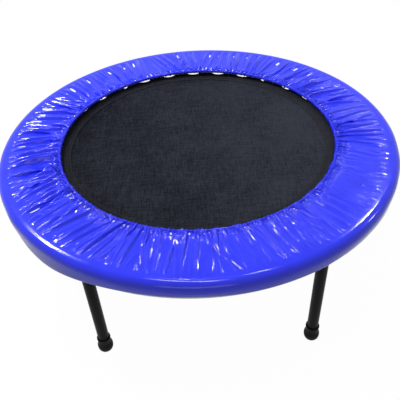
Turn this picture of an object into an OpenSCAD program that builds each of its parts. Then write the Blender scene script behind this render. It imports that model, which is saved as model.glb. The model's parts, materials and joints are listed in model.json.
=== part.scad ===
// Round mini trampoline. A steel ring stands on six screw-on legs, thirty springs hold
// a woven mat in it, and a gathered cover over a foam pad hides the springs.
// Origin on the floor under the middle of the mat, +Z up, millimetres.

/* [Frame] */
// Height of the cover's crown above the floor
overall_h = 300; // [230:5:380]
// Radius of the frame ring at the middle of its tube
ring_r = 480; // [450:5:560]
// Outer diameter of the ring's tube
tube_d = 25; // [22:0.5:32]
// Wall of the ring's tube
tube_wall = 1.5; // [1.2:0.1:2.5]

/* [Legs] */
// Outer diameter of a leg tube
leg_d = 25; // [22:0.5:30]
// Wall of a leg tube
leg_wall = 1.5; // [1.2:0.1:2.5]
// Depth of the welded boss below the ring's tube
boss_drop = 6; // [4:0.5:12]
// How far the boss reaches up the sides of the ring's tube
boss_grip = 6.5; // [3:0.5:8]
// Diameter of the threaded stud
stud_d = 10; // [8:1:12]
// Length of the stud below its boss
stud_l = 20; // [14:1:30]
// Thickness of the washer between the boss and the leg
washer_t = 2; // [1:0.5:4]
// Thickness of the leg insert's flange
flange_t = 2; // [1.5:0.5:4]
// Length of the insert inside the leg, below its flange
insert_l = 24; // [22:1:40]

/* [Feet] */
// Height of a rubber foot
foot_h = 40; // [30:1:60]
// Rubber under the leg's end
foot_floor = 6; // [4:0.5:10]
// Wall of the foot's sleeve around the leg
foot_wall = 2.2; // [1.6:0.1:4]
// How far the bulge stands out past the sleeve
foot_bulge = 3; // [1:0.1:5]
// Height of the middle of the bulge
bulge_z = 11; // [8:0.5:14]
// How far the sole's edge stands out past the sleeve
sole_step = 1; // [0.5:0.1:2]
// Height of the lip at the foot's mouth
lip_h = 4; // [3:0.5:6]
// How far the lip stands out past the sleeve
lip_step = 0.75; // [0.5:0.05:1.5]

/* [Springs] */
// Number of springs, a multiple of six
spring_count = 30; // [24:6:36]
// Thickness of the spring's wire
spring_wire = 2.2; // [1.8:0.1:2.8]
// Outer diameter of the coils
coil_d = 10.6; // [9:0.1:12]
// Length of the coiled part
coil_l = 50; // [40:1:65]
// Distance from the coils to the ring's tube
shank_l = 19.5; // [14:0.5:26]
// Radius of the loop on the mat's side, at the middle of the wire
loop_r = 5; // [4.4:0.1:5.4]
// Diameter of the hook holes in the ring's tube
hook_hole_d = 8; // [6.5:0.1:9]
// Depth of the hook's bent tip inside the tube
hook_drop = 3; // [2:0.1:3.4]

/* [Mat] */
// Thickness of the woven mesh
mesh_t = 0.8; // [0.6:0.1:1.2]
// Thickness of the webbing folded over the mesh's edge
web_t = 1.2; // [0.8:0.1:1.6]
// Width of the webbing band at the mat's edge
band_w = 50; // [36:1:70]
// Depth of the scallops between the rings
scallop_depth = 11; // [6:0.5:13]
// Thickness of the triangular rings' wire
ring_wire = 3.5; // [3:0.1:4]
// Width of a triangular ring
tri_w = 48; // [44:1:52]
// Bend radius of a triangular ring's corners, at the middle of the wire
tri_bend = 3.5; // [3.2:0.1:4]
// Length of a triangular ring
tri_l = 25; // [22:0.5:28]
// Width of a row of stitches
stitch_w = 0.8; // [0.5:0.1:1.2]
// Distance of the outer rows of stitches from the webbing's edges
stitch_inset = 3.2; // [2:0.1:5]
// Height of the stitches on the webbing
stitch_t = 0.3; // [0.2:0.05:0.5]

/* [Cover] */
// Width of the cover, from its opening to the middle of the ring's tube
cover_w = 133; // [128:1:150]
// How far the cover's inner edge stands off the mat's edge
hem_lift = 7.5; // [0:0.5:8]
// Thickness of the cover's sheet
skin_t = 0.8; // [0.5:0.1:1.2]
// Thickness of the foam over the ring's tube
foam_t = 6.1; // [4:0.1:12]
// How far the cover hangs below its crown
skirt_h = 40; // [38:1:48]
// Radius of the casing around the inner elastic
inner_casing_r = 4; // [3.4:0.1:5]
// Radius of the casing around the outer elastic
outer_casing_r = 3; // [2.6:0.1:3.2]
// Thickness of the elastic bands
elastic_t = 1.4; // [1:0.1:1.8]

/* [Clearances] */
// Space between soft pieces and their neighbours, and around loose rings and hooks
soft_gap = 0.3; // [0.2:0.05:0.5]
// Free play of a spring's loop in its triangular ring
loop_play = 0.7; // [0.6:0.05:0.9]
// Radial clearance of the stud in the leg's insert
thread_gap = 0.05; // [0.02:0.01:0.1]
// Radial clearance of pieces driven onto or into a tube
push_gap = 0.05; // [0.02:0.01:0.1]
// Radial clearance of the washer on the stud
washer_gap = 0.3; // [0.2:0.05:0.6]

/* [Hidden] */

$fn = 96;
LEGS = 6;
SPRING_STEP = 360 / spring_count;
SPRINGS_PER_LEG = spring_count / LEGS;
ARC_STEP = 7.5;                 // degrees between points on an arc
WIRE_STEP = 22.5;               // the same on the bends of a triangular ring
FOOT_STEPS = 12;
CUT = 1;                        // how far a cutting shape runs past a face

// Heights
crown_r = tube_d / 2 + soft_gap + foam_t + soft_gap + skin_t;   // cover round the tube
ring_z = overall_h - crown_r;
boss_bottom = ring_z - tube_d / 2 - boss_drop;
leg_top = boss_bottom - washer_t;
leg_bore = leg_d - 2 * leg_wall;

// Along one spring, from the ring inwards
hook_z = -(hook_hole_d / 2 - spring_wire / 2 - soft_gap);       // wire rests low in its hole
coil_out = ring_r - tube_d / 2 - shank_l;
coil_in = coil_out - coil_l;
loop_seat = spring_wire / 4;                                    // loop sinks into the end coil
loop_x = coil_in + loop_seat - loop_r;
coil_bore = coil_d - 2 * spring_wire;

// Triangular ring: its apex holds the spring's loop, its bar lies in the folded webbing
half_angle = atan(tri_w / 2 / tri_l);
bend_angle = 90 - half_angle;                                   // corner at each end of the bar
bend_y = tri_w / 2 - tri_bend / tan(bend_angle / 2);
apex_x = loop_x - loop_r + spring_wire / 2 + loop_play + ring_wire / 2 - tri_bend + tri_bend / sin(half_angle);
bar_x = apex_x - tri_l;
bar_sag = pow(tri_w / 2, 2) / (2 * bar_x) + tri_bend / 6;       // straight bar in a round channel

// Mat edge
channel_in = bar_x - ring_wire / 2 - soft_gap;
channel_out = bar_x + ring_wire / 2 + bar_sag + soft_gap;
channel_h = ring_wire / 2 + soft_gap;
edge_r = channel_out + web_t;
band_in = edge_r - band_w;
band_flat = mesh_t / 2 + web_t;                                 // half thickness of the flat part
band_thick = channel_h + web_t;                                 // half thickness over the rings
tab_half = bend_y + tri_bend - ring_wire / 2 - soft_gap;         // tab fits between a ring's two bends
scallop_angle = SPRING_STEP / 2 - asin(tab_half / channel_out);
scallop_half = channel_out * sin(scallop_angle);
scallop_rise = channel_out * cos(scallop_angle) - (edge_r - scallop_depth);
scallop_r = (scallop_half * scallop_half + scallop_rise * scallop_rise) / (2 * scallop_rise);

// Cover and foam, heights measured from the ring's middle
hem_z = min(band_thick + 2 * soft_gap + inner_casing_r + hem_lift, crown_r - inner_casing_r);  // below the crown
hem_r = ring_r - cover_w + inner_casing_r;
hem_top = hem_z + inner_casing_r;
foam_in = hem_r + inner_casing_r + soft_gap;
foam_bottom = max(coil_d / 2, loop_r + spring_wire / 2) + soft_gap;
skirt_z = crown_r - skirt_h + outer_casing_r;
skirt_r = ring_r + crown_r - outer_casing_r;
foam_wrap = -asin((tube_d / 2 - boss_grip - 3 * soft_gap) / (tube_d / 2 + soft_gap));  // foam ends above the bosses

// Points on an arc about (x, y), from angle a to angle b
function arc(x, y, r, a, b, step = ARC_STEP) =
    let (steps = ceil(abs(b - a) / step))
    [for (i = [0:steps]) let (t = a + (b - a) * i / steps) [x + r * cos(t), y + r * sin(t)]];

// Height of the sloping top at radius x, for a sheet whose face is depth below the outer one
function slope_z(x, depth) =
    let (t = (x - hem_r) / (ring_r - hem_r)) hem_top + (crown_r - hem_top) * t - depth;

// A piece at each leg, and at each spring
module at_leg(n) { rotate(360 / LEGS * (n - 1)) translate([ring_r, 0, 0]) children(); }
module at_spring(k) { rotate(SPRING_STEP * k) translate([0, 0, ring_z]) children(); }

// Section through the wall of a tube
module tube_section(d, wall) {
    difference() {
        circle(d = d);
        circle(d = d - 2 * wall);
    }
}

module frame_ring() color([0.08, 0.08, 0.09]) difference() {
    rotate_extrude() translate([ring_r, ring_z]) tube_section(tube_d, tube_wall);
    for (k = [0:spring_count - 1]) at_spring(k)
        translate([ring_r - tube_d, 0, 0]) rotate([0, 90, 0]) cylinder(d = hook_hole_d, h = tube_d);
    for (n = [1:LEGS]) at_leg(n)
        translate([0, 0, ring_z - tube_d]) cylinder(d = stud_d + 2 * push_gap, h = tube_d);
}

// Boss coped to the underside of the ring and welded to it
module leg_boss(n) color([0.1, 0.1, 0.11]) difference() {
    at_leg(n) translate([0, 0, boss_bottom]) cylinder(d = leg_d, h = boss_drop + boss_grip);
    rotate_extrude() translate([ring_r, ring_z]) circle(d = tube_d + 2 * push_gap);
    at_leg(n) translate([0, 0, boss_bottom - CUT])
        cylinder(d = stud_d + 2 * push_gap, h = boss_drop + boss_grip + 2 * CUT);
}

module leg_stud(n) color([0.7, 0.7, 0.72])
    at_leg(n) translate([0, 0, boss_bottom - stud_l])
        cylinder(d = stud_d, h = stud_l + boss_drop + tube_wall);

module leg_washer(n) color([0.13, 0.13, 0.13])
    at_leg(n) translate([0, 0, leg_top]) difference() {
        cylinder(d = leg_d, h = washer_t);
        translate([0, 0, -CUT]) cylinder(d = stud_d + 2 * washer_gap, h = washer_t + 2 * CUT);
    }

// Threaded plug driven into the top of the leg
module leg_insert(n) color([0.15, 0.15, 0.16])
    at_leg(n) translate([0, 0, leg_top]) difference() {
        union() {
            translate([0, 0, -flange_t]) cylinder(d = leg_d, h = flange_t);
            translate([0, 0, -flange_t - insert_l]) cylinder(d = leg_bore - 2 * push_gap, h = flange_t + insert_l);
        }
        translate([0, 0, -flange_t - insert_l - CUT])
            cylinder(d = stud_d + 2 * thread_gap, h = flange_t + insert_l + 2 * CUT);
    }

module leg_tube(n) color([0.07, 0.07, 0.08])
    at_leg(n) translate([0, 0, foot_floor]) difference() {
        cylinder(d = leg_d, h = leg_top - flange_t - foot_floor);
        translate([0, 0, -CUT]) cylinder(d = leg_bore, h = leg_top);
    }

// Rubber cup with a bulge near the floor and a thin lip at its mouth
module rubber_foot(n) {
    sleeve_r = leg_d / 2 + foot_wall;
    bore_r = leg_d / 2 + push_gap;
    bulge_r = sleeve_r + foot_bulge;
    sole_r = sleeve_r + sole_step;
    color([0.06, 0.06, 0.06]) at_leg(n) rotate_extrude() polygon(concat(
        [[0, 0]],
        [for (i = [0:FOOT_STEPS]) let (t = i / FOOT_STEPS)
            [sole_r + (bulge_r - sole_r) * sin(90 * t), bulge_z * (1 - cos(90 * t))]],
        [for (i = [1:FOOT_STEPS]) let (t = i / FOOT_STEPS)
            [sleeve_r + foot_bulge * (1 + cos(180 * t)) / 2, bulge_z + (foot_h / 2 - bulge_z / 2) * t]],
        [[sleeve_r, foot_h - lip_h], [sleeve_r + lip_step, foot_h - lip_h / 2], [sleeve_r, foot_h],
         [bore_r, foot_h], [bore_r, foot_floor], [0, foot_floor]]));
}

// Close-wound extension spring: a loop on the mat's side, a bent hook in the ring's hole
module spring() {
    end_t = spring_wire;
    vent_d = coil_bore / 3;         // opens the inside of the coils
    tip_z = hook_z - hook_drop;
    hook_x = ring_r - sqrt(pow(tube_d / 2 - tube_wall, 2) - tip_z * tip_z) + spring_wire / 2 + soft_gap;
    translate([coil_in, 0, 0]) rotate([0, 90, 0]) difference() {
        cylinder(d = coil_d, h = coil_l);
        translate([0, 0, end_t]) cylinder(d = coil_bore, h = coil_l - 2 * end_t);
        translate([-coil_bore / 4, 0, end_t]) cylinder(d = vent_d, h = coil_l);
    }
    translate([loop_x, 0, 0]) rotate([90, 0, 0])
        rotate_extrude() translate([loop_r, 0]) circle(d = spring_wire);
    translate([coil_out - end_t, 0, hook_z]) rotate([0, 90, 0])
        cylinder(d = spring_wire, h = hook_x + spring_wire / 2 - coil_out + end_t);
    translate([hook_x, 0, tip_z]) cylinder(d = 0.9 * spring_wire, h = hook_drop);
}

// The springs of one sector, from one leg to the next
module springs(n) color([0.75, 0.76, 0.78])
    for (k = [0:SPRINGS_PER_LEG - 1]) at_spring(SPRINGS_PER_LEG * (n - 1) + k) spring();

// Outline of a triangle with round corners, r from the corners' centres
function triangle(r) = let (x = bar_x + tri_bend) concat(
    arc(apex_x - tri_bend / sin(half_angle), 0, r, -bend_angle, bend_angle, WIRE_STEP),
    arc(x, bend_y, r, bend_angle, 180, WIRE_STEP),
    arc(x, -bend_y, r, 180, 360 - bend_angle, WIRE_STEP));

module triangle_rings() color([0.7, 0.71, 0.73])
    for (k = [0:spring_count - 1]) at_spring(k)
        translate([0, 0, -ring_wire / 2]) linear_extrude(ring_wire) difference() {
            polygon(triangle(tri_bend + ring_wire / 2));
            polygon(triangle(tri_bend - ring_wire / 2));
        }

// Bites between the tabs that hold the rings
module scallops() {
    for (k = [0:spring_count - 1]) at_spring(k + 0.5)
        translate([edge_r - scallop_depth + scallop_r, 0, -tube_d]) cylinder(r = scallop_r, h = 2 * tube_d);
}

module mat_mesh() color([0.13, 0.13, 0.14]) difference() {
    translate([0, 0, ring_z - mesh_t / 2]) cylinder(r = channel_in, h = mesh_t);
    scallops();
}

// Webbing folded over the mesh's edge, with a channel for the rings' bars
module edge_band() color([0.05, 0.05, 0.06]) difference() {
    rise = band_thick - band_flat;
    round_off = web_t;
    rotate_extrude() translate([0, ring_z]) difference() {
        polygon([[band_in, -band_flat], [channel_in - web_t - rise, -band_flat], [channel_in - web_t, -band_thick],
                 [edge_r - round_off, -band_thick], [edge_r, -band_thick + round_off],
                 [edge_r, band_thick - round_off], [edge_r - round_off, band_thick],
                 [channel_in - web_t, band_thick], [channel_in - web_t - rise, band_flat], [band_in, band_flat]]);
        translate([channel_in, -channel_h]) square([channel_out - channel_in, 2 * channel_h]);
        translate([band_in - CUT, -mesh_t / 2]) square([band_w, mesh_t]);
    }
    scallops();
}

// Rows of thread on both faces of the band
module edge_stitching() color([0.2, 0.2, 0.22]) {
    inner_row = band_in + stitch_inset;
    outer_row = edge_r - scallop_depth - web_t - (band_thick - band_flat) - stitch_inset;
    rows = [inner_row, (inner_row + outer_row) / 2, outer_row];
    for (r = rows, side = [band_flat, -band_flat - stitch_t])
        rotate_extrude() translate([r, ring_z + side]) square([stitch_w, stitch_t]);
}

// Foam over the springs and round the outside of the ring's tube
module foam_pad() {
    inner_r = tube_d / 2 + soft_gap;
    outer_r = inner_r + foam_t;
    start = asin(foam_bottom / inner_r);
    sheet = skin_t + soft_gap;
    color([0.85, 0.85, 0.82]) rotate_extrude() translate([0, ring_z]) polygon(concat(
        [[foam_in, slope_z(foam_in, sheet)], [foam_in, foam_bottom]],
        arc(ring_r, 0, inner_r, 180 - start, foam_wrap),
        arc(ring_r, 0, outer_r, foam_wrap, 90)));
}

// Cover sheet from the inner casing over the rim to the outer casing
module pad_cover() color([0.15, 0.16, 0.85]) rotate_extrude() translate([0, ring_z]) polygon(concat(
    arc(hem_r, hem_z, inner_casing_r, 330, 90),
    arc(ring_r, 0, crown_r, 90, 0),
    arc(skirt_r, skirt_z, outer_casing_r, 0, -240),
    arc(skirt_r, skirt_z, outer_casing_r - skin_t, -240, 0),
    arc(ring_r, 0, crown_r - skin_t, 0, 90),
    arc(hem_r, hem_z, inner_casing_r - skin_t, 90, 330)));

// Flat elastic band standing on edge inside a casing
module elastic(r, z, casing_r) {
    half_w = sqrt(pow(casing_r - skin_t - soft_gap, 2) - elastic_t * elastic_t / 4);
    rotate_extrude() translate([r - elastic_t / 2, ring_z + z - half_w]) square([elastic_t, 2 * half_w]);
}

module inner_elastic() color([0.9, 0.9, 0.88]) elastic(hem_r, hem_z, inner_casing_r);
module outer_elastic() color([0.9, 0.9, 0.88]) elastic(skirt_r, skirt_z, outer_casing_r);

frame_ring();
for (n = [1:LEGS]) {
    leg_boss(n);
    leg_stud(n);
    leg_washer(n);
    leg_insert(n);
    leg_tube(n);
    rubber_foot(n);
    springs(n);
}
triangle_rings();
mat_mesh();
edge_band();
edge_stitching();
foam_pad();
pad_cover();
inner_elastic();
outer_elastic();
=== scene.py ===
import json
import math

import bmesh
import bpy
import numpy as np
from mathutils import Matrix, Vector


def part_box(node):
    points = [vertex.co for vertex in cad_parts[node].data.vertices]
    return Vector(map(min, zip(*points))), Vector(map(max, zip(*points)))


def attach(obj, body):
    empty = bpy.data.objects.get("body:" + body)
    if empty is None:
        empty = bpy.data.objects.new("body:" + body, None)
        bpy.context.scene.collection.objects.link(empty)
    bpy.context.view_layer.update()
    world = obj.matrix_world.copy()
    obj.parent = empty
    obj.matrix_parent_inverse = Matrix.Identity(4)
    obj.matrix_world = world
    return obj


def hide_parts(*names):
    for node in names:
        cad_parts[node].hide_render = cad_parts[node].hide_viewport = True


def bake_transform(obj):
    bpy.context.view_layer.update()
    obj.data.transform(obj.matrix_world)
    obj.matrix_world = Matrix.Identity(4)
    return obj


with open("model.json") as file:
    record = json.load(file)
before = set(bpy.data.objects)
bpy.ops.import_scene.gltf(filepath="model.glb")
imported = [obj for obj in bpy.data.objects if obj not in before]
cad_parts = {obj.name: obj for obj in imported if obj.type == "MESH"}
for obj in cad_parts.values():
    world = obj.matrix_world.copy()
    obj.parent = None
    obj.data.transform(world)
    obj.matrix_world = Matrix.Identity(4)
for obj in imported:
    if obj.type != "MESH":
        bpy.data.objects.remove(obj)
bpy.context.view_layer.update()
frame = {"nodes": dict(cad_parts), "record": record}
print("frame loaded,", len(frame["nodes"]), "nodes")

legCount = 6
springCount = 30
elasticT = 0.0014            # thickness of the elastic strips


def ringSizes(node):
    # outer radius, middle height and half height of a round node
    low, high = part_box(node)
    return high.x, (low.z + high.z) / 2, (high.z - low.z) / 2


tubeOuter, ringZ, tubeR = ringSizes("frame_ring")
ringR = tubeOuter - tubeR                # middle line of the ring's tube
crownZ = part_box("pad_cover")[1].z
crownR = crownZ - ringZ                  # from that middle line to the cover
hemOuter, hemZ, _ = ringSizes("inner_elastic")
hemR = hemOuter - elasticT / 2
skirtR = ringSizes("outer_elastic")[0] - elasticT / 2
bandR, matZ, bandHalf = ringSizes("edge_band")
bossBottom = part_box("leg_boss_1")[0].z
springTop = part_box("springs_1")[1].z


class Wire:
    # One output of a node. Sums and products of wires add the nodes that work them out.
    def __init__(self, finish, socket):
        self.finish = finish
        self.socket = socket

    def join(self, operation, a, b):
        kinds = [w.socket.type for w in (a, b) if isinstance(w, Wire)]
        if "RGBA" in kinds:
            settings = {"data_type": "RGBA", "blend_type": operation}
            return self.finish.node("ShaderNodeMix", settings, {0: 1.0, 6: a, 7: b}, 2)
        kind = "ShaderNodeVectorMath" if "VECTOR" in kinds else "ShaderNodeMath"
        return self.finish.node(kind, {"operation": operation}, {0: a, 1: b})

    def __add__(self, other):
        return self.join("ADD", self, other)

    def __radd__(self, other):
        return self.join("ADD", other, self)

    def __sub__(self, other):
        return self.join("SUBTRACT", self, other)

    def __rsub__(self, other):
        return self.join("SUBTRACT", other, self)

    def __mul__(self, other):
        return self.join("MULTIPLY", self, other)

    def __rmul__(self, other):
        return self.join("MULTIPLY", other, self)

    def __truediv__(self, other):
        return self.join("DIVIDE", self, other)

    def __rtruediv__(self, other):
        return self.join("DIVIDE", other, self)

    def do(self, operation, other=0.0):
        return self.finish.node("ShaderNodeMath", {"operation": operation}, {0: self, 1: other})

    def span(self, low, high, newLow=0.0, newHigh=1.0):
        # a straight map of low..high, cut off at its ends
        return self.finish.node("ShaderNodeMapRange", {"clamp": True},
                                {0: self, 1: low, 2: high, 3: newLow, 4: newHigh})

    def spread(self, newLow=0.0, newHigh=1.0):
        # noise seldom leaves 0.3..0.7, so that part of it is stretched
        return self.span(0.3, 0.7, newLow, newHigh)

    def tint(self, first, second):
        # colour first where the wire is 0, and second where it is 1
        settings = {"data_type": "RGBA", "blend_type": "MIX"}
        return self.finish.node("ShaderNodeMix", settings, {0: self, 6: first, 7: second}, 2)


class Finish:
    # One material, or the world, and its nodes
    def __init__(self, name, world=None):
        self.material = world or bpy.data.materials.new(name)
        self.material.use_nodes = True
        self.tree = self.material.node_tree
        self.tree.nodes.clear()
        self.where = self.node("ShaderNodeTexCoord", out="Object")

    def node(self, kind, settings=None, sockets=None, out=0):
        made = self.tree.nodes.new(kind)
        for name, value in (settings or {}).items():
            setattr(made, name, value)
        for name, value in (sockets or {}).items():
            socket = made.inputs[name]
            if isinstance(value, Wire):
                self.tree.links.new(value.socket, socket)
            elif socket.type == "RGBA":
                socket.default_value = (*value, 1.0)
            elif socket.type == "VECTOR" and isinstance(value, (int, float)):
                socket.default_value = (value, value, value)
            else:
                socket.default_value = value
        return Wire(self, made.outputs[out]) if made.outputs else None

    def noise(self, size, detail, where=None):
        # soft noise from 0 to 1 with lumps about as wide as size
        sockets = {"Vector": where or self.where, "Scale": 1.0 / size, "Detail": detail}
        return self.node("ShaderNodeTexNoise", {"noise_dimensions": "3D"}, sockets)

    def axes(self):
        x = self.node("ShaderNodeSeparateXYZ", None, {0: self.where})
        return [Wire(self, out) for out in x.socket.node.outputs]

    def bump(self, height, depth, strength, under=None):
        # relief of that depth, on top of the relief under it
        sockets = {"Height": height, "Distance": depth, "Strength": strength}
        if under:
            sockets["Normal"] = under
        return self.node("ShaderNodeBump", None, sockets)

    def seen(self):
        # 1 for what the eye, a reflection or clear glass sees, and 0 for light on the object
        rays = self.node("ShaderNodeLightPath").socket.node.outputs
        names = ("Is Camera Ray", "Is Glossy Ray", "Is Transmission Ray")
        camera, glossy, clear = [Wire(self, rays[name]) for name in names]
        return (camera + glossy + clear).do("MINIMUM", 1.0)

    def surface(self, sockets):
        return self.done(self.node("ShaderNodeBsdfPrincipled", None, sockets))

    def done(self, shader):
        self.node("ShaderNodeOutputMaterial", None, {"Surface": shader})
        return self.material


# The colours that each finish is mixed from, how rough it is, and sizes of its details.
looks = {
    "vinyl": {
        "dark": (0.011, 0.020, 0.67),
        "light": (0.015, 0.026, 0.74),
        "rough": (0.09, 0.16),
        "shine": 0.28,
        "cloud": 0.05,
        "crease": 0.006,
        "peel": 0.0012,
        "reliefDepth": 0.0005,
        "back": (0.028, 0.042, 0.53),    # dull back of the sheet at the rolled lower edge, and painted shade on the skirt's lower side above it
        "backAndShadeDrop": (0.024, 0.004),      # below the ring's middle: where the back and the painted shade are full, and where they end
        "pucker": 0.0048,
        "puckerDepth": 0.0060,
        "puckerReach": (0.004, 0.024),   # out from the elastic: where they are full, and where they end
    },
    "mesh": {
        "pitch": 0.0016,                 # from one thread to the next
        "dark": (0.0003, 0.0008, 0.0034),
        "light": (0.0215, 0.0250, 0.0350),
        "rough": (0.4, 0.52),
        "seeThrough": 0.011,
    },
    "webbing": {
        "pitch": 0.0012,
        "dark": (0.004, 0.0045, 0.007),
        "light": (0.018, 0.019, 0.025),
        "rough": (0.5, 0.62),
        "seeThrough": 0.0,
    },
    "matThread": {"dark": (0.010, 0.010, 0.012), "light": (0.03, 0.03, 0.034)},
    "coverThread": {"dark": (0.02, 0.025, 0.5), "light": (0.04, 0.05, 0.75)},
    "powderCoat": {
        "dark": (0.0065, 0.0062, 0.0078),
        "light": (0.0105, 0.0100, 0.0125),
        "rough": (0.34, 0.46),
        "wear": 0.03,
        "pebble": 0.0014,
        "depth": 0.00012,
    },
    "zinc": {"dark": (0.50, 0.52, 0.55), "light": (0.74, 0.76, 0.79), "rough": (0.24, 0.4)},
    "darkZinc": {"dark": (0.16, 0.16, 0.17), "light": (0.28, 0.28, 0.29), "rough": (0.24, 0.4)},
    "rubber": {
        "dark": (0.010, 0.010, 0.011),
        "light": (0.019, 0.018, 0.018),
        "rough": (0.5, 0.68),
        "dust": 0.012,
        "grain": 0.0009,
        "depth": 0.0001,
    },
    "foam": {
        "dark": (0.52, 0.52, 0.50),
        "light": (0.64, 0.64, 0.62),
        "rough": 0.8,
        "cell": 0.003,
        "depth": 0.0006,
    },
    "elastic": {
        "dark": (0.55, 0.55, 0.52),
        "light": (0.8, 0.8, 0.77),
        "rough": 0.75,
        "rib": 0.0009,
        "depth": 0.0002,
    },
}


def vinylFinish(name, look):
    # glossy PVC sheet with a faint orange peel, fine stress creases, puckers beside the elastic, and
    # painted shade low on the skirt
    f = Finish(name)
    cloudy = f.noise(look["cloud"], 2.0)
    creases = f.noise(look["crease"], 4.0)
    peel = f.noise(look["peel"], 2.0)
    x, y, z = f.axes()
    full, end = look["backAndShadeDrop"]
    # painted shade: a darker, duller blue low on the skirt, where it turns down away from the light, with
    # the sheet's dull back at the rolled edge
    backAndShade = z.span(ringZ - full, ringZ - end, 1.0, 0.0)
    blue = backAndShade.tint(cloudy.spread().tint(look["dark"], look["light"]), look["back"])
    full, end = look["puckerReach"]
    nearHem = (x * x + y * y).do("SQRT").span(hemR + full, hemR + end, 1.0, 0.0)
    puckers = f.noise(look["pucker"], 2.0) * nearHem
    relief = f.bump(creases * 0.7 + peel * 0.12, look["reliefDepth"], 0.3)
    return f.surface({"Base Color": blue, "Roughness": cloudy.spread(*look["rough"]),
                      "Normal": f.bump(puckers, look["puckerDepth"], 0.95, relief),
                      "Specular IOR Level": look["shine"]})


def wovenFinish(name, look):
    # plain weave: threads along X and Y take turns on top
    f = Finish(name)
    x, y, _ = f.axes()
    u = x / look["pitch"]
    v = y / look["pitch"]
    turns = (u.do("FLOOR") + v.do("FLOOR")).do("PINGPONG", 1.0)
    threadX = (v.do("FRACT") * math.pi).do("SINE")
    threadY = (u.do("FRACT") * math.pi).do("SINE")
    weave = threadX * (0.45 + 0.55 * threadY * turns) * turns + threadY * (1 - turns)
    uneven = f.noise(0.12, 3.0)
    slubs = f.noise(0.03, 3.0, f.where * (1.0, 11.0, 1.0)) + f.noise(0.03, 3.0, f.where * (11.0, 1.0, 1.0))
    flecks = f.noise(0.0032, 2.0)
    shade = weave * 0.2 + uneven * 0.6 + (slubs - 0.8) * 0.8 + (flecks - 0.45) * 0.8
    shade = shade + x * 0.8    # painted light: a little paler to one side (+X), where more light falls across the mat and its band
    return f.surface({"Base Color": shade.span(0.25, 1.0).tint(look["dark"], look["light"]),
                      "Roughness": uneven.spread(*look["rough"]),
                      "Normal": f.bump(weave, look["pitch"] * 0.2, 0.5), "Alpha": 1.0 - look["seeThrough"],
                      "Specular IOR Level": 0.03})


def threadFinish(name, look):
    f = Finish(name)
    twist = f.noise(0.0008, 2.0, f.where * (1.0, 1.0, 3.0))
    return f.surface({"Base Color": twist.spread().tint(look["dark"], look["light"]), "Roughness": 0.6,
                      "Normal": f.bump(twist, 0.0002, 0.6), "Specular IOR Level": 0.2})


def powderCoatFinish(name, look):
    # pebbled coat, a little greyer where it is worn
    f = Finish(name)
    pebble = f.noise(look["pebble"], 2.0)
    worn = f.noise(look["wear"], 5.0)
    return f.surface({"Base Color": worn.span(0.35, 0.7).tint(look["dark"], look["light"]),
                      "Roughness": worn.span(0.3, 0.75, *look["rough"]),
                      "Normal": f.bump(pebble, look["depth"], 0.6), "Specular IOR Level": 0.05})


def zincFinish(name, look):
    # bright plate with cloudy patches and drawing marks
    f = Finish(name)
    cloudy = f.noise(0.008, 4.0)
    marks = f.noise(0.0015, 3.0)
    return f.surface({"Base Color": cloudy.spread().tint(look["dark"], look["light"]), "Metallic": 1.0,
                      "Roughness": marks.spread(*look["rough"]), "Normal": f.bump(marks, 0.00008, 0.4)})


def rubberFinish(name, look):
    # moulded rubber with dust in its grain
    f = Finish(name)
    dust = f.noise(look["dust"], 5.0)
    grain = f.noise(look["grain"], 2.0)
    return f.surface({"Base Color": dust.span(0.4, 0.75).tint(look["dark"], look["light"]),
                      "Roughness": dust.spread(*look["rough"]), "Normal": f.bump(grain, look["depth"], 0.5),
                      "Specular IOR Level": 0.08})


def foamFinish(name, look):
    # open cells in a mottled grey
    f = Finish(name)
    cells = f.node("ShaderNodeTexVoronoi", {"feature": "DISTANCE_TO_EDGE"},
                   {"Vector": f.where, "Scale": 1.0 / look["cell"]})
    mottle = f.noise(0.02, 3.0)
    return f.surface({"Base Color": mottle.spread().tint(look["dark"], look["light"]),
                      "Roughness": look["rough"], "Normal": f.bump(cells, look["depth"], 0.5)})


def elasticFinish(name, look):
    # ribs that run round the strip, with a slight fuzz
    f = Finish(name)
    _, _, z = f.axes()
    ribs = (z / look["rib"] * math.pi).do("SINE") * 0.5 + 0.5
    fuzz = f.noise(0.001, 2.0)
    shade = (ribs * 0.6 + fuzz * 0.4).span(0.2, 0.9)
    return f.surface({"Base Color": shade.tint(look["dark"], look["light"]), "Roughness": look["rough"],
                      "Normal": f.bump(ribs, look["depth"], 0.6)})


finishes = {
    "vinyl": vinylFinish("blueVinyl", looks["vinyl"]),
    "mesh": wovenFinish("blackMatMesh", looks["mesh"]),
    "webbing": wovenFinish("blackWebbing", looks["webbing"]),
    "matThread": threadFinish("charcoalThread", looks["matThread"]),
    "coverThread": threadFinish("blueThread", looks["coverThread"]),
    "powderCoat": powderCoatFinish("blackPowderCoat", looks["powderCoat"]),
    "zinc": zincFinish("brightZinc", looks["zinc"]),
    "darkZinc": zincFinish("darkZinc", looks["darkZinc"]),
    "rubber": rubberFinish("blackRubber", looks["rubber"]),
    "foam": foamFinish("greyFoam", looks["foam"]),
    "elastic": elasticFinish("wovenElastic", looks["elastic"]),
}
print("finishes ready,", len(finishes))


def gridFaces(rows, columns, wrapRows=False):
    # quads of a grid whose rows are closed, and whose last row may join the first
    i, j = np.meshgrid(np.arange(rows - 1 + wrapRows), np.arange(columns), indexing="ij")
    down = (i + 1) % rows * columns
    right = (j + 1) % columns
    return np.stack([i * columns + j, i * columns + right, down + right, down + j], -1).reshape(-1, 4)


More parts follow.
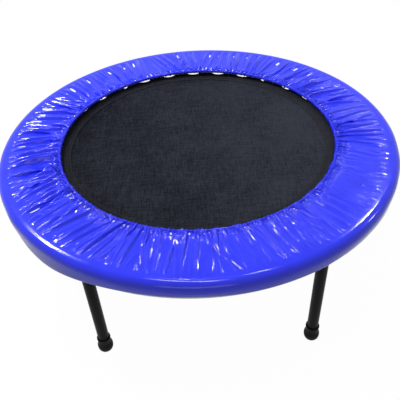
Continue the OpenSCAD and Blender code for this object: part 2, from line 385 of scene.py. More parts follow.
def makePiece(name, grids, finish, body=None, wrapRows=False):
    # one mesh from grids of points, each rows x columns x 3. Points at one place become one.
    faces = []
    first = 0
    for grid in grids:
        rows, columns = grid.shape[:2]
        faces.append(gridFaces(rows, columns, wrapRows) + first)
        first += rows * columns
    points = np.concatenate([grid.reshape(-1, 3) for grid in grids])
    mesh = bpy.data.meshes.new(name)
    mesh.from_pydata(points.tolist(), [], np.concatenate(faces).tolist())
    worked = bmesh.new()
    worked.from_mesh(mesh)
    bmesh.ops.remove_doubles(worked, verts=worked.verts, dist=1e-6)
    bmesh.ops.recalc_face_normals(worked, faces=worked.faces)
    worked.to_mesh(mesh)
    worked.free()
    mesh.shade_smooth()
    mesh.materials.append(finishes[finish])
    piece = bpy.data.objects.new(name, mesh)
    bpy.context.scene.collection.objects.link(piece)
    if body:
        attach(piece, body)
    return piece


def aroundRing(count):
    # angles of that many points round a full turn
    return np.linspace(0, 2 * math.pi, count, endpoint=False)


def onRing(radius, height, turn):
    # a row of points about the vertical axis. radius and height are numbers, or one for each point
    return np.stack([radius * np.cos(turn), radius * np.sin(turn), height + 0 * turn], -1)


def spun(points, angle):
    # the points turned about the vertical axis
    c, s = math.cos(angle), math.sin(angle)
    return points @ np.array([[c, s, 0], [-s, c, 0], [0, 0, 1]])


def curved(points, steps):
    # a smooth curve through the points
    points = np.asarray(points, float)
    ends = np.concatenate([points[:1] * 2 - points[1:2], points, points[-1:] * 2 - points[-2:-1]])
    made = []
    for i in range(len(points) - 1):
        a, b, c, d = ends[i:i + 4]
        for t in np.arange(steps) / steps:
            made.append(b + (c - a) * t / 2 + (2 * a - 5 * b + 4 * c - d) * t * t / 2
                        + (3 * b - a - 3 * c + d) * t ** 3 / 2)
    return np.array(made + [points[-1]])


def tube(path, radius, sides, closed=False):
    # a wire along a path. radius is one number, or a number for each point
    path = np.asarray(path, float)
    ahead = np.roll(path, -1, 0) - np.roll(path, 1, 0) if closed else np.gradient(path, axis=0)
    ahead /= np.linalg.norm(ahead, axis=1)[:, None]
    askew = (0.31, 0.17, 0.93)    # no wire starts along this
    side = np.cross(ahead[0], askew)
    sideways = []
    for direction in ahead:
        side = side - direction * side.dot(direction)
        side /= np.linalg.norm(side)
        sideways.append(side)
    sideways = np.array(sideways)
    upward = np.cross(ahead, sideways)
    turn = aroundRing(sides)[None, :, None]
    across = sideways[:, None] * np.cos(turn) + upward[:, None] * np.sin(turn)
    return path[:, None] + across * np.broadcast_to(radius, len(path))[:, None, None]


def blunt(count, radius, ends=2):
    # radii for a tube that closes at both ends
    radii = np.full(count, float(radius))
    radii[:ends] *= np.sin(np.arange(ends) / ends * math.pi / 2)
    radii[-ends:] = radii[:ends][::-1]
    return radii


def waves(turn, low, high, seed, fall=0.3):
    # random waves round the ring, low to high of them in one turn, with a spread of 1
    pick = np.random.default_rng(seed)
    count = np.arange(low, high + 1)
    size = pick.normal(size=count.shape) / (count / low) ** fall
    shift = pick.uniform(0, 2 * math.pi, count.shape)
    made = sum(a * np.cos(n * turn + b) for n, a, b in zip(count, size, shift))
    return made / made.std()


def mixed(a, b, share):
    return a + (b - a) * share


def eased(x, low, high):
    # 0 below low, 1 above high, smooth between
    t = np.clip((x - low) / (high - low), 0, 1)
    return t * t * (3 - 2 * t)


def byAngle(values, turn):
    # values that are given at some angles in degrees, worked out for every point round the ring
    return np.interp(np.degrees(turn), list(values), list(values.values()))


def fromNearest(turn, count, first=0.0):
    # angle to the nearest of count places that are spaced evenly round the ring
    return np.abs(np.angle(np.exp(1j * count * (turn - first)))) / count


# Cover: a strip of vinyl whose inner edge is sewn round an elastic that draws it in.
cover = {
    "columns": 720,          # points round the sheet while it is gathered
    "rows": 26,              # points from the inner seam to the crown
    "closeRows": 7,          # of these, gaps beside the seam that are halved
    "frames": 30,            # steps of the gathering
    "drawnIn": 0.6,          # share of the steps in which the edge is drawn in
    "stripR": 0.494,         # radius that the uncut strip would lie at
    "uneven": 0.0002,        # lumps in the uncut strip, which start its folds
    "quality": 5,
    "mass": 0.02,
    "tension": 50.0,
    "shear": 5.0,
    "bending": 0.05,
    "damping": 2.0,
    "airDrag": 3.0,
    "crownInset": 0.002,     # where the crown's rounding starts, inside the ring's middle
    "crownPower": 2.3,       # 2 is a round rim, and more is squarer
    "casingR": 0.0040,
    "casingLeast": 0.0037,   # room that the elastic needs
    "casingLoose": 0.0003,
    "casingAngles": (335, 305, 275, 245, 215, 190, 165, 140, 115, 90, 70),  # its section, up to the seam
    "seamAngle": 50.0,       # place of the seam on the casing, degrees above its outer side
    "tuck": (0.0075, 0.0005),    # where the sheet's hem ends on the foam, out from the elastic and up
    # folds that the seam pulls in, in one turn: the first two numbers for the wide ones at the front,
    # and the last two for the narrow ones behind
    "hemWaves": (50, 100, 190),
    "hemWaveDepth": 0.0013,
    "drift": 0.0154,         # how far the fabric has slid along the elastic, radians
    "fineWaves": (170, 300), # crinkles at the elastic, in one turn
    "fineDepth": 0.0020,
    "fineReach": 0.016,
    "fineSlants": ((1.3, 27), (-1.1, 28)),  # crinkles that cross the others, 1 is 45 degrees
    "crossStart": 0.003,     # how far from the seam those begin
    "seamFade": 0.004,       # how far from the seam the sheet dips to it
    "creaseWaves": (90, 230),            # thin creases between the folds, in one turn
    "creaseDepth": 0.0006,
    "creaseReach": 0.62,                 # share of the way from the elastic to the crown
    "creaseSlants": ((0.05, 25), (-0.035, 26)),  # how far each set runs round the ring, radians
    "valley": 0.0022,        # folds sink no further than this into the foam
    # strength of the folds, at angles round the ring
    "gain": {0: 1.25, 45: 1.5, 75: 1.45, 120: 1.5, 150: 1.65, 175: 1.7, 205: 1.7, 250: 1.3, 275: 0.8,
             300: 0.95, 320: 0.5, 340: 0.6, 360: 1.25},
    "gainSwell": 1.2,        # how much more of it acts halfway out
    # how far the skirt hangs below the ring's middle, at angles round the ring
    "skirtHang": {0: 0.017, 60: 0.018, 120: 0.017, 180: 0.017, 210: 0.017, 216: 0.021, 222: 0.031,
                  228: 0.037, 234: 0.030, 242: 0.024, 252: 0.018, 270: 0.017, 300: 0.019, 312: 0.018,
                  330: 0.018, 360: 0.017},
    "hangWaves": 0.0008,
    "sideWaves": 0.0004,
    "skirtFlare": 0.001,     # further out where it hangs lower
    "rollR": 0.0025,         # rolled lower edge
    "stitch": (0.0026, 0.0040),  # length of a stitch, and from one to the next
    "thread": 0.0003,
    "threadLift": 0.0002,    # of its middle line above the sheet
    "flat": (0.205, 3.14),   # width and length of the strip that the cover is sewn from
}


def slopeHeight(radius):
    # height of the smooth top between the seam and the crown
    start, rise = hemR, hemZ + cover["casingR"]
    return rise + (crownZ - rise) * (radius - start) / (ringR - start)


def stripShapes():
    # the strip as it is cut, and with its inner edge drawn in to the elastic
    columns, rows = cover["columns"], cover["rows"]
    turn = aroundRing(columns)
    tilt = math.radians(cover["seamAngle"])
    crownEdge = ringR - cover["crownInset"]
    seamR = hemR + cover["casingR"] * math.cos(tilt)
    seamZ = hemZ + cover["casingR"] * math.sin(tilt)
    width = math.hypot(crownEdge - seamR, crownZ - seamZ)
    low, middle, high = cover["hemWaves"]
    behind = eased(np.sin(turn), -0.5, 0.8)
    pulled = mixed(waves(turn, low, middle, 3, 0.2), waves(turn, middle, high, 4, 0.2), behind)
    slid = turn + cover["drift"] * waves(turn, 3, 14, 5, 0.4)
    start = []
    end = []
    for i in range(rows):
        t = i / (rows - 1)
        start.append(onRing(mixed(cover["stripR"], crownEdge, t), crownZ + width * (1 - t), turn))
        end.append(onRing(mixed(seamR, crownEdge, t), mixed(seamZ, crownZ, t), turn))
    depth = cover["hemWaveDepth"] * pulled
    end[0] = onRing(seamR + depth * math.cos(tilt), seamZ + depth * math.sin(tilt), slid)
    start = np.array(start)
    start[1:-2] += np.random.default_rng(11).normal(size=start[1:-2].shape) * cover["uneven"]
    return start, np.array(end)


def gatheredTop():
    # the strip sewn to the crown, after cloth steps that draw its inner edge in and let it settle
    columns, rows, frames = cover["columns"], cover["rows"], cover["frames"]
    start, end = stripShapes()
    mesh = bpy.data.meshes.new("strip")
    mesh.from_pydata(start.reshape(-1, 3).tolist(), [], gridFaces(rows, columns).tolist())
    strip = bpy.data.objects.new("strip", mesh)
    bpy.context.scene.collection.objects.link(strip)
    strip.shape_key_add(name="sewn")
    drawn = strip.shape_key_add(name="drawnIn")
    drawn.data.foreach_set("co", end.reshape(-1))
    for value, step in ((0.0, 1), (1.0, int(frames * cover["drawnIn"]))):
        drawn.value = value
        drawn.keyframe_insert("value", frame=step)
    for curve in mesh.shape_keys.animation_data.action.fcurves:
        for key in curve.keyframe_points:
            key.interpolation = "LINEAR"
    held = strip.vertex_groups.new(name="held")
    edges = list(range(columns)) + list(range((rows - 2) * columns, rows * columns))
    held.add(edges, 1.0, "REPLACE")
    cloth = strip.modifiers.new("gathering", "CLOTH")
    vinyl = cloth.settings
    vinyl.quality = cover["quality"]
    vinyl.mass = cover["mass"]
    vinyl.tension_stiffness = cover["tension"]
    vinyl.compression_stiffness = cover["tension"]
    vinyl.shear_stiffness = cover["shear"]
    vinyl.bending_stiffness = cover["bending"]
    vinyl.tension_damping = cover["damping"]
    vinyl.compression_damping = cover["damping"]
    vinyl.air_damping = cover["airDrag"]
    vinyl.vertex_group_mass = "held"
    vinyl.effector_weights.gravity = 0.0
    cloth.collision_settings.use_collision = False
    cloth.point_cache.frame_start = 1
    cloth.point_cache.frame_end = frames
    scene = bpy.context.scene
    for step in range(1, frames + 1):
        scene.frame_set(step)
    settled = strip.evaluated_get(bpy.context.evaluated_depsgraph_get())
    points = np.zeros(rows * columns * 3)
    settled.data.vertices.foreach_get("co", points)
    bpy.data.objects.remove(strip)
    scene.frame_set(1)
    return points.reshape(rows, columns, 3)


def refined(top):
    # a smooth point between every two neighbours round the ring, and halved gaps beside the seam
    near = top + np.roll(top, -1, 1)
    far = np.roll(top, 1, 1) + np.roll(top, -2, 1)
    middle = (9 * near - far) / 16
    top = np.stack([top, middle], 2).reshape(top.shape[0], -1, 3)
    close = top[:cover["closeRows"] + 1]
    halved = np.stack([close[:-1], (close[:-1] + close[1:]) / 2], 1).reshape(-1, *top.shape[1:])
    return np.concatenate([halved, top[cover["closeRows"]:]])


def creased(lift, turn, outward):
    # folds made stronger, thin creases across them, and valleys that stop at the foam
    gain = byAngle(cover["gain"], turn)
    lift = lift * (1 + (gain - 1) * (1 + cover["gainSwell"] * np.sin(math.pi * outward)))
    patchy = np.clip(0.75 + 0.75 * waves(turn, 4, 24, 24), 0.05, 2.1) * gain ** 2
    fade = np.exp(-(outward / cover["creaseReach"]) ** 3)
    for slant, seed in cover["creaseSlants"]:
        crossing = waves(turn + slant * outward, *cover["creaseWaves"], seed, 0.2)
        lift = lift + cover["creaseDepth"] * patchy * crossing * fade
    valley = cover["valley"]
    return np.where(lift < 0, valley * np.expm1(np.minimum(lift, 0) / valley), lift)


def fineFolds(turn):
    # crinkles at the elastic, more in some places, with blunt crests
    fine = waves(turn, *cover["fineWaves"], 21, 0.1) * (0.75 + 0.25 * waves(turn, 10, 40, 22))
    return np.sign(fine) * np.abs(fine) ** 0.8


def crinkled(fine, turn, fromSeam):
    # those crinkles as they fade out, with slanted ones across them
    crossed = 0
    for slant, seed in cover["fineSlants"]:
        crossed = crossed + waves(turn + slant * fromSeam / hemR, *cover["fineWaves"], seed, 0.1)
    near = np.exp(-(fromSeam / cover["fineReach"]) ** 1.3)
    begun = near - np.exp(-fromSeam / cover["crossStart"])
    return cover["fineDepth"] * (fine * near + 0.5 * crossed * begun)


def casingRows(seam, fine):
    # from the end of the hem, which lies on the foam, back under the elastic and over it to the seam
    turn = np.arctan2(seam[:, 1], seam[:, 0])
    swell = np.hypot(np.hypot(seam[:, 0], seam[:, 1]) - hemR, seam[:, 2] - hemZ) - cover["casingR"]
    out = cover["casingR"] + cover["casingLoose"] + swell * 0.5 + cover["fineDepth"] * fine * 0.6
    out = np.maximum(out, cover["casingLeast"])
    tuckOut, tuckUp = cover["tuck"]
    rows = [onRing(hemR + tuckOut, hemZ + tuckUp, turn)]
    for angle in cover["casingAngles"]:
        section = math.radians(angle)
        rows.append(onRing(hemR + out * math.cos(section), hemZ + out * math.sin(section), turn))
    return rows


def skirtRows(turn):
    # over the crown's rounding, down the side, and round the rolled lower edge
    hang = byAngle(cover["skirtHang"], turn)
    reach = len(turn) // 80    # each point is evened out with this many on either side
    hang = np.convolve(np.concatenate([hang[-reach:], hang, hang[:reach]]), np.ones(2 * reach + 1), "valid")
    hang = hang / (2 * reach + 1) + cover["hangWaves"] * waves(turn, 4, 22, 33, 0.6)
    roll = cover["rollR"]
    edgeZ = ringZ - hang + roll
    edgeR = skirtR + mixed(-cover["skirtFlare"], cover["skirtFlare"], eased(hang, 0.018, 0.030))
    soft = waves(turn, 5, 40, 31, 0.8) * cover["sideWaves"]
    squarer = 2 / cover["crownPower"]
    rows = []
    for angle in (*range(86, 8, -7), 4):
        section = math.radians(angle)
        out = crownR + soft * (1 - math.sin(section))
        across, up = math.cos(section) ** squarer, math.sin(section) ** squarer
        rows.append(onRing(ringR + out * across, ringZ + out * up, turn))
    sideR = ringR + crownR + soft
    for t in (0.2, 0.4, 0.6, 0.8, 1.0):
        rows.append(onRing(mixed(sideR, edgeR + roll, t ** 1.6), mixed(ringZ - 0.001, edgeZ, t), turn))
    for angle in range(-30, -231, -40):
        section = math.radians(angle)
        rows.append(onRing(edgeR + roll * math.cos(section), edgeZ + roll * math.sin(section), turn))
    return rows


def coverRows():
    top = refined(gatheredTop())
    turn = aroundRing(top.shape[1])
    radius = np.hypot(top[..., 0], top[..., 1])
    smooth = slopeHeight(radius)
    outward = np.clip((radius - hemR) / (ringR - hemR), 0, 1)    # 0 at the elastic, 1 at the ring
    fromSeam = np.maximum(radius - radius[:1], 0)
    folds = creased(top[..., 2] - smooth, turn, outward)
    fine = fineFolds(turn)
    seam = top[0].copy()
    top[..., 2] = smooth + folds + crinkled(fine, turn, fromSeam)
    top[..., 2] -= (smooth[0] - seam[:, 2]) * np.exp(-fromSeam / cover["seamFade"])
    return np.concatenate([casingRows(seam, fine), top, skirtRows(turn)])


def seamStitches(rows, place):
    # dashes of thread along one row of the cover, a hair above the sheet
    line = rows[place]
    above = rows[place + 1] - line
    along = np.roll(line, -1, 0) - line
    out = np.cross(along, above)
    out /= np.linalg.norm(out, axis=1)[:, None]
    out *= np.sign(out[:, 2:3])
    line = line + out * cover["threadLift"]
    travel = np.concatenate([[0], np.cumsum(np.linalg.norm(along, axis=1))])
    closed = np.concatenate([line, line[:1]])
    length, step = cover["stitch"]
    points = 5
    dashes = []
    for first in np.arange(0, travel[-1] - step, step):
        at = first + np.linspace(0, length, points)
        path = np.stack([np.interp(at, travel, closed[:, k]) for k in range(3)], 1)
        dashes.append(tube(path, blunt(points, cover["thread"]), 6))
    return dashes


sheet = coverRows()
seamPlace = len(cover["casingAngles"]) + 2    # first row past the tuck, the casing and the seam
padCover = makePiece("padCover", [sheet], "vinyl", "frame")
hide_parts("pad_cover")
makePiece("coverStitches", seamStitches(sheet, seamPlace), "coverThread", "frame")
print("cover gathered,", sheet.shape[0], "x", sheet.shape[1], "points")


# Foam under the cover, in lengths that meet end to end.
foam = {
    "columns": 360,
    "clear": 0.0008,         # from the cover's casing
    "edge": 0.001,           # cut off the inner corners
    "top": 0.0035,           # below the smooth top
    "thin": 0.6,             # share of that gap that is lost on the way to the ring
    "gap": 0.0004,           # round the ring's tube
    "thick": 0.0055,         # over the ring's tube
    "end": -22.0,            # degrees below level, where it stops outside the tube
    "joints": 6,
    "firstJoint": 0.2,       # radians
    "jointWidth": 0.0015,
    "pinch": 0.18,           # how far a joint draws the foam in, as a share of the way to the height below
    "pinchZ": 0.006,         # above its bottom
}


def foamOutline(inner, bottom, outer):
    # section of the foam, from the inner corner over the top and back under the ring's tube
    tubeGap = tubeR + foam["gap"]
    edge = foam["edge"]
    innerTop = slopeHeight(inner) - foam["top"] - ringZ
    outline = [(inner + edge, bottom), (inner, bottom + edge),
               (inner, innerTop - edge), (inner + edge, innerTop)]
    for t in np.linspace(0.1, 0.9, 9):
        r = mixed(inner, ringR, t)
        outline.append((r, slopeHeight(r) - foam["top"] * (1 - t * foam["thin"]) - ringZ))
    for angle in np.radians(np.linspace(90, foam["end"], 14)):
        outline.append((ringR + outer * math.cos(angle), outer * math.sin(angle)))
    last = 180 - math.degrees(math.asin(bottom / tubeGap))
    for angle in np.radians(np.linspace(foam["end"], last, 20)):
        outline.append((ringR + tubeGap * math.cos(angle), tubeGap * math.sin(angle)))
    return outline


def foamRing():
    inner = hemR + cover["casingR"] + foam["clear"]
    bottom = springTop - ringZ + foam["gap"]
    outer = tubeR + foam["gap"] + foam["thick"]
    turn = aroundRing(foam["columns"])
    away = fromNearest(turn, foam["joints"], foam["firstJoint"]) * ringR
    pinch = foam["pinch"] * np.exp(-(away / foam["jointWidth"] / 2) ** 2)
    rows = []
    for r, z in foamOutline(inner, bottom, outer):
        drawn = (bottom + foam["pinchZ"] - z) * pinch if r < ringR - outer else 0.0
        rows.append(onRing(r, ringZ + z + drawn, turn))
    return np.array(rows)


padFoam = makePiece("foamRing", [foamRing()], "foam", "frame", wrapRows=True)
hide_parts("foam_pad")


# Mat: woven mesh, a folded band of webbing with a tab for each spring, and thread.
mat = {
    "bandWidth": 0.050,
    "scallopDepth": 0.0145,
    "scallopR": 0.02604,
    "webbing": 0.0016,       # half thickness of the flat part of the band
    "barInset": 0.0046,      # bar of a triangular ring, in from the band's edge
    "barFlat": 0.0018,       # half width of the swelling over a bar, and how far it runs out
    "barFade": 0.0022,
    "barRoom": 0.0001,
    "tab": (0.017, 0.022),   # half width of a tab: where it starts to fade, and where it ends
    "wavy": 0.00012,         # faint waves across the band
    "edgeRound": 0.0002,
    # rows of points, as shares of the way from the band's inner edge to its outer edge
    "bandShares": (0, 0.03, 0.1, 0.22, 0.34, 0.46, 0.58, 0.68, 0.76, 0.82, 0.87, 0.91, 0.945, 0.97, 0.985),
    "mesh": 0.0004,          # half thickness of the mesh
    "meshInset": 0.0175,     # edge of the mesh in the fold, in from the band's edge
    "sag": 0.0009,
    "rows": (0.0032, 0.0165, 0.0300),    # rows of stitches, from the band's inner edge
    "stitch": (0.0034, 0.0046),          # length of a stitch, and from one to the next
    "thread": 0.0004,
}
bandIn = bandR - mat["bandWidth"]
tabStep = 2 * math.pi / springCount


def bandEdge(turn):
    # outer edge of the band: a round edge with a bite between every two tabs
    off = fromNearest(turn, springCount, -tabStep / 2)
    middle = bandR - mat["scallopDepth"] + mat["scallopR"]
    across = mat["scallopR"] ** 2 - (middle * np.sin(off)) ** 2
    bite = middle * np.cos(off) - np.sqrt(np.maximum(across, 0))
    return np.where(across > 0, np.minimum(bite, bandR), bandR)


def bandGrid():
    # two layers of webbing, which swell over the bars of the triangular rings
    turn = aroundRing(springCount * 36)
    edge = bandEdge(turn)
    half = mat["webbing"]
    barR = bandR - mat["barInset"]
    isTab = 1 - eased(fromNearest(turn, springCount) * bandR, *mat["tab"])
    wavy = waves(turn, 20, 90, 41, 0.5) * mat["wavy"]
    upper = [(bandIn, mat["mesh"])]
    for share in mat["bandShares"]:
        radius = mixed(bandIn, edge, share)
        beside = np.maximum(np.abs(radius - barR) - mat["barFlat"], 0)
        swell = np.exp(-(beside / mat["barFade"]) ** 2) * isTab
        upper.append((radius, half + wavy * share + (bandHalf - half - mat["barRoom"]) * swell))
    upper.append((edge - mat["edgeRound"], (half + (bandHalf - half) * isTab) * 0.8))
    lower = [(radius, -height) for radius, height in reversed(upper)]
    return np.array([onRing(r, matZ + z, turn) for r, z in [*upper, (edge, 0.0), *lower]])


def meshGrid():
    # a thin sheet that sags a little and has faint ripples
    turn = aroundRing(240)
    rings = np.concatenate([[0.0], np.linspace(0.02, bandIn, 22),
                            np.linspace(bandIn + 0.008, bandR - mat["meshInset"], 3)])
    upper = []
    lower = []
    for r in rings:
        calm = 1 - eased(r, bandIn * 0.8, bandIn)
        dish = -mat["sag"] * (1 - (r / bandIn) ** 2) if r < bandIn else 0.0
        ripple = 0.00025 * np.cos(3 * turn + 8 * r) * np.sin(r * 21) + 0.0002 * np.sin(5 * turn - 17 * r)
        middle = dish + ripple * calm
        upper.append(onRing(r, matZ + mat["mesh"] + middle, turn))
        lower.append(onRing(r, matZ - mat["mesh"] + middle, turn))
    return np.array(upper + lower[::-1])


def stitchRow(radius, height, length, step, thick, side):
    # small crowned dashes of thread round the ring
    count = int(2 * math.pi * radius / step)
    crown = ((-0.5, 0.0, -0.2), (-0.36, 0.8, 0.6), (0.0, 1.0, 1.0), (0.36, 0.8, 0.6), (0.5, 0.0, -0.2))
    dash = []
    for t, wide, high in crown:    # place along the stitch, its width and its height
        section = []
        for s in aroundRing(6):
            section.append((radius + wide * thick * math.cos(s), t * length,
                            height + side * thick * (high * 0.5 + wide * 0.7 * math.sin(s))))
        dash.append(section)
    dash = np.array(dash)
    return [spun(dash, 2 * math.pi * k / count) for k in range(count)]


matMesh = makePiece("matMesh", [meshGrid()], "mesh", "mat")
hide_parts("mat_mesh")
edgeBand = makePiece("edgeBand", [bandGrid()], "webbing", "mat")
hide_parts("edge_band")
stitches = []
for inset in mat["rows"]:
    for side in (1, -1):
        height = matZ + side * mat["webbing"]
        stitches += stitchRow(bandIn + inset, height, *mat["stitch"], mat["thread"], side)
bandStitches = makePiece("bandStitches", stitches, "matThread", "mat")
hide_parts("edge_stitching")
print("mat woven,", len(stitches), "stitches")


# Triangular rings of bent wire, one through each tab of the band.
ring = {"wire": 0.0035, "width": 0.048, "length": 0.025, "bend": 0.0035}


def trianglePath():
    half = math.atan(ring["width"] / 2 / ring["length"])
    corner = math.pi / 2 - half
    bend = ring["bend"]
    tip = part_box("triangle_rings")[1].x - bend - ring["wire"] / 2
    apexX = tip + bend / math.sin(half)
    barX = apexX - ring["length"]
    cornerY = ring["width"] / 2 - bend / math.tan(corner / 2)
    arcs = [(tip, 0.0, -corner, corner), (barX + bend, cornerY, corner, math.pi),
            (barX + bend, -cornerY, math.pi, 2 * math.pi - corner)]
    path = []
    for x, y, first, last in arcs:
        for a in np.linspace(first, last, 9):
            path.append((x + bend * math.cos(a), y + bend * math.sin(a), matZ))
    return path


triangle = tube(trianglePath(), ring["wire"] / 2, 10, closed=True)
triangles = [spun(triangle, tabStep * k) for k in range(springCount)]
triangleRings = makePiece("triangleRings", triangles, "zinc", "mat", wrapRows=True)
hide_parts("triangle_rings")


# Springs: close coils with a hook in the ring's tube, and a loop on the mat's side.
spring = {
    "wire": 0.0022,
    "coil": 0.0106,
    "length": 0.050,         # of the coils
    "shank": 0.0195,         # from the coils to the ring's tube
    "loop": 0.0050,          # radius of the loop
    "turns": 21,
    "steps": 14,             # points in one turn
    "grown": 0.6,            # of a turn, in which the wire reaches the full coil
    "closing": 0.4,          # of a turn, in which it closes in by the share below
    "closed": 0.35,
    "hookZ": -0.0026,
    "hookIn": 0.0044,        # of the hook past the tube's inner side
    # points round the hook's bend from its tip, as how far out and up from its corner
    "hook": ((0.0, -0.0032), (0.0, -0.0026), (0.0, -0.0016), (-0.0005, -0.0005), (-0.0016, 0.0)),
}


def springPath():
    wire = spring["wire"]
    hookZ = spring["hookZ"]
    steps = spring["steps"]
    coilR = spring["coil"] / 2 - wire / 2
    outX = ringR - tubeR - spring["shank"]
    inX = outX - spring["length"]
    hookX = ringR - tubeR + spring["hookIn"]
    loopX = inX + wire / 4 - spring["loop"]
    path = [(hookX + x, 0, hookZ + z) for x, z in spring["hook"]]
    for x in np.linspace(hookX - 0.004, outX + 0.003, 6):
        path.append((x, 0, hookZ))
    total = spring["turns"] * steps + steps // 2
    closing = steps * spring["closing"]
    for i in range(total + 1):
        angle = -math.pi / 2 + 2 * math.pi * i / steps
        radius = mixed(-hookZ, coilR, min(1.0, i / (steps * spring["grown"])))
        radius = radius * (1 - spring["closed"] * max(0.0, (i - total + closing) / closing))
        x = mixed(outX + 0.001, inX + wire * 0.6, i / total)
        path.append((x, radius * math.cos(angle), radius * math.sin(angle)))
    for angle in np.radians(np.arange(75, 371, 20)):
        path.append((loopX + spring["loop"] * math.cos(angle), 0.0, spring["loop"] * math.sin(angle)))
    path = np.array(path)
    path[3:-3] = (path[2:-4] + 2 * path[3:-3] + path[4:-2]) / 4    # rounds off where they join
    return path + (0, 0, ringZ), hookX, loopX


springLine, hookX, loopX = springPath()
springWire = tube(springLine, blunt(len(springLine), spring["wire"] / 2), 8)
for k in range(springCount):
    coil = makePiece(f"spring_{k + 1:02d}", [spun(springWire, tabStep * k)], "zinc")
    direction = Vector((math.cos(tabStep * k), math.sin(tabStep * k), 0))
    lift = Vector((0, 0, ringZ))
    direction * hookX + lift
    direction * loopX + lift
    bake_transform(coil)
    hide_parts(f"springs_{k * legCount // springCount + 1}")
print("springs hooked,", springCount)


# Legs: threaded studs and their weld beads.
leg = {
    "studR": 0.005,
    "pitch": 0.0015,
    "thread": 0.55,          # depth of the thread, as a share of the pitch
    "studLength": 0.020,     # below the boss
    "studInside": 0.0075,
    "bossR": 0.0125,
    "grip": 0.0065,          # of the boss up the sides of the ring's tube
    "bead": 0.0016,
    "beadRipples": 52,       # round one bead
}


def studGrid():
    bottom = bossBottom - leg["studLength"]
    heights = np.arange(0, leg["studLength"] + leg["studInside"], leg["pitch"] / 6)
    turn = aroundRing(28)
    root = leg["studR"] - leg["pitch"] * leg["thread"]
    grid = [onRing(0.0, bottom, turn), onRing(root, bottom, turn)]
    for z in heights:
        groove = np.abs((z / leg["pitch"] - turn / (2 * math.pi)) % 1.0 - 0.5) * 2
        radius = mixed(leg["studR"], root, np.clip(groove * 1.25 - 0.12, 0, 1))
        radius = np.minimum(radius, root + z * 0.9)    # tapers at its lower end
        grid.append(onRing(radius, bottom + z + 0.0001, turn))
    grid.append(onRing(0.0, bottom + heights[-1] + 0.0002, turn))
    return np.array(grid)


def beadGrid():
    # a bead along the line where the boss meets the ring's tube
    turn = aroundRing(168)
    x = leg["bossR"] * np.cos(turn)
    y = leg["bossR"] * np.sin(turn)
    saddle = np.sqrt(np.maximum(tubeR ** 2 - x ** 2, 0))
    z = -np.maximum(saddle, tubeR - leg["grip"])
    ripples = np.abs(np.cos(turn * leg["beadRipples"] / 2))
    thick = leg["bead"] * (0.86 + 0.14 * ripples + 0.05 * waves(turn, 3, 12, 61))
    return tube(np.stack([x, y, ringZ + z], 1), thick, 8, closed=True)


# Rubber feet, as radius and height along their section.
foot = {
    "columns": 64,
    "height": 0.040,
    "bore": 0.01255,
    "floor": 0.006,          # bottom of the bore
    "sole": [(0.0, 0.0012), (0.0045, 0.0012), (0.0052, 0.0), (0.0085, 0.0), (0.0088, 0.0010),
             (0.0104, 0.0010), (0.0107, 0.0), (0.0150, 0.0)],
    "side": [(0.0157, 0.0008), (0.0170, 0.0045), (0.0177, 0.0110), (0.0172, 0.0160), (0.0158, 0.0205),
             (0.0149, 0.0250), (0.0147, 0.0320), (0.0147, 0.0352), (0.0153, 0.0364), (0.01545, 0.0380),
             (0.0152, 0.0395), (0.0146, 0.0400)],
}


def footGrid():
    height, bore, floor = foot["height"], foot["bore"], foot["floor"]
    mouth = [(0.0138, height - 0.0001), (bore + 0.0002, height - 0.0004), (bore, height - 0.0010)]
    outline = np.concatenate([foot["sole"], curved(foot["side"], 4), mouth, [(bore, floor), (0.0, floor)]])
    turn = aroundRing(foot["columns"])
    return np.array([onRing(r, z, turn) for r, z in outline])


stud = studGrid()
bead = beadGrid()
cup = footGrid()
for n in range(1, legCount + 1):
    angle = 2 * math.pi * (n - 1) / legCount
    shift = np.array([ringR, 0, 0])
    studPiece = makePiece(f"stud_{n}", [spun(stud + shift, angle)], "zinc", "frame")
    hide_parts(f"leg_stud_{n}")
    makePiece(f"weld_{n}", [spun(bead + shift, angle)], "powderCoat", "frame", wrapRows=True)
    footPiece = makePiece(f"foot_{n}", [spun(cup + shift, angle)], "rubber", f"leg_{n}")
    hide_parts(f"rubber_foot_{n}")
print("legs dressed,", legCount)


# Finishes of the pieces that stay as packed, by their material slot.
packedFinish = {
    "black_steel": "powderCoat",
    "zinc_steel": "darkZinc",
    "black_rubber": "rubber",
    "elastic": "elastic",
}
for part in frame["record"]["subparts"]:
    node = frame["nodes"][part["node"]]
    finish = packedFinish.get(part["material_slot"])
    if finish:
        node.data.materials.clear()
        node.data.materials.append(finishes[finish])


# Floor, world and soft boxes.
studio = {
    "floor": 12.0,           # from its middle to each side
    "paint": ((0.88, 0.88, 0.88), (0.90, 0.90, 0.90)),
    "paintSeen": (0.40, 0.40, 0.40),     # under the glow, where it only carries the shadow
    "glow": 0.98,            # share of plain white in what is seen of the floor
    "world": 0.26,           # strength of the world's light on the object
    # place, width, height and power of each soft box
    "boxes": {
        "leftBox": ((-1.16, 0.95, 2.0), 0.12, 0.12, 22.0),
        "farLeftBox": ((-1.40, 0.60, 1.93), 0.13, 0.13, 26.0),
        "topBox": ((-0.15, 0.63, 2.1), 0.10, 0.10, 3.5),
        "highBox": ((0.38, 0.43, 2.04), 0.09, 0.09, 3.0),
        "backRightBox": ((1.15, 1.2, 1.9), 0.10, 0.10, 8.0),
        "rightBox": ((1.97, 0.06, 1.4), 0.10, 0.20, 5.0),
        "frontBox": ((-0.15, -0.18, 2.28), 0.8, 0.06, 12.0),
        "fillBox": ((-0.2, -2.6, 1.1), 1.6, 0.8, 8.0),
    },
    "aim": (0.0, 0.0, 0.27),
}


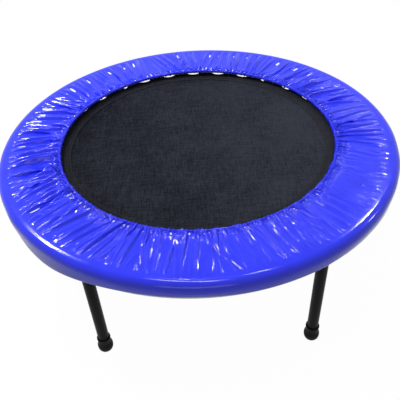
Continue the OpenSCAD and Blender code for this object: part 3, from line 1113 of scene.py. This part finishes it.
def floorFinish():
    # white to the eye and in reflections, with the object's shadow kept
    f = Finish("whiteFloor")
    seen = f.seen()
    paint = seen.tint(studio["paintSeen"], f.noise(0.4, 2.0).spread().tint(*studio["paint"]))
    lit = f.node("ShaderNodeBsdfPrincipled", None,
                 {"Base Color": paint, "Roughness": 0.9, "Specular IOR Level": 0.0})
    glow = f.node("ShaderNodeEmission", None, {"Color": (1.0, 1.0, 1.0), "Strength": 1.0})
    return f.done(f.node("ShaderNodeMixShader", None, {0: seen * studio["glow"], 1: lit, 2: glow}))


def makeFloor():
    size = studio["floor"]
    mesh = bpy.data.meshes.new("floor")
    corners = [(-size, -size, 0), (size, -size, 0), (size, size, 0), (-size, size, 0)]
    mesh.from_pydata(corners, [], [(0, 1, 2, 3)])
    mesh.materials.append(floorFinish())
    floor = bpy.data.objects.new("floor", mesh)
    bpy.context.scene.collection.objects.link(floor)


def makeWorld():
    world = bpy.data.worlds.new("studio")
    bpy.context.scene.world = world
    f = Finish("studio", world)
    strength = f.seen() * (1.0 - studio["world"]) + studio["world"]
    back = f.node("ShaderNodeBackground", None, {"Color": (1.0, 1.0, 1.0), "Strength": strength})
    f.node("ShaderNodeOutputWorld", None, {"Surface": back})


def makeLights():
    for name, (place, width, height, power) in studio["boxes"].items():
        light = bpy.data.lights.new(name, "AREA")
        light.shape = "RECTANGLE"
        light.size = width
        light.size_y = height
        light.energy = power
        lamp = bpy.data.objects.new(name, light)
        lamp.location = place
        lamp.rotation_euler = (Vector(studio["aim"]) - Vector(place)).to_track_quat("-Z", "Y").to_euler()
        bpy.context.scene.collection.objects.link(lamp)


# Camera: its place, its turn in degrees, and its lens.
view = {
    "place": (-0.0025, -1.1271, ringZ + 0.7777),
    "elevation": 40.84,
    "roll": -3.17,
    "azimuth": -0.03,
    "lens": 47.26,
    "shift": (0.0005, -0.0053),
}


def makeCamera():
    rise = math.radians(view["elevation"])
    roll = math.radians(view["roll"])
    back = Vector((0, -math.cos(rise), math.sin(rise)))
    level = Vector((1, 0, 0))
    upright = Vector((0, math.sin(rise), math.cos(rise)))
    right = level * math.cos(roll) + upright * math.sin(roll)
    up = upright * math.cos(roll) - level * math.sin(roll)
    pose = Matrix((right, up, back)).transposed().to_4x4()
    data = bpy.data.cameras.new("camera")
    data.lens = view["lens"]
    data.shift_x, data.shift_y = view["shift"]
    camera = bpy.data.objects.new("camera", data)
    camera.matrix_world = Matrix.Rotation(math.radians(view["azimuth"]), 4, "Z") @ pose
    camera.location = view["place"]
    bpy.context.scene.collection.objects.link(camera)
    bpy.context.scene.camera = camera


makeFloor()
makeWorld()
makeLights()
makeCamera()
bpy.context.scene.view_settings.view_transform = "Standard"
print("stage set")
